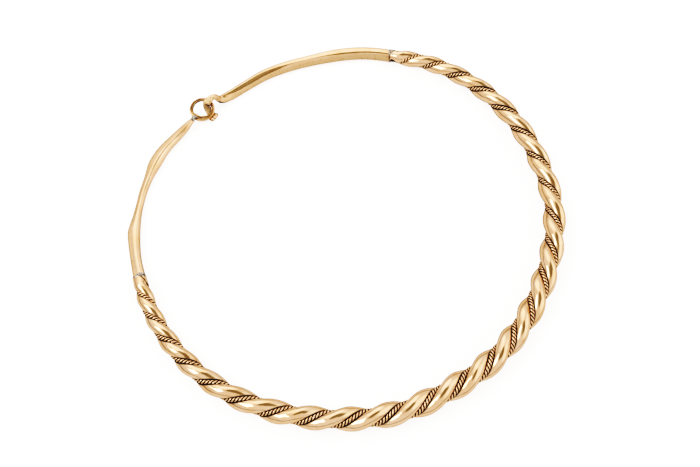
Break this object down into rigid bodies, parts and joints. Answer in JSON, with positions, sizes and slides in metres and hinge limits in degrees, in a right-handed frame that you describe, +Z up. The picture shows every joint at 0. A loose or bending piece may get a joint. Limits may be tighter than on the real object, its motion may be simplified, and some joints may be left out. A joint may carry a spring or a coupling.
{
  "type": "twisted torc",
  "caption": "Twisted metal neck ring with fine twisted wire in its grooves and plain tapering ends that close with a hook and loop.",
  "frame": {"origin": "on the ground under the middle of the ring, at the bottom centre of its bounding box", "axes": "+Z up out of the lying ring; +Y towards the clasp at the back of the neck; +X towards the bar that carries the hook; the thickest twist is at -Y"},
  "size_m": [0.1974, 0.191, 0.0105],
  "materials": {
    "polished_bronze": "polished smooth round strands of golden bronze, brown in the grooves",
    "drawn_wire_bronze": "fine drawn wire, bright on its crests and dark between its turns",
    "hammered_bronze": "hammered and burnished, with soft facets and fine marks along it",
    "loop_bronze": "polished wire with grey solder at its base"
  },
  "bodies": {
    "root": {"strand_1": "polished_bronze", "strand_2": "polished_bronze", "twisted_wire_1": "drawn_wire_bronze", "twisted_wire_2": "drawn_wire_bronze", "loop_bar": "hammered_bronze", "hook_bar": "hammered_bronze", "loop": "loop_bronze"}
  },
  "joints": []
}
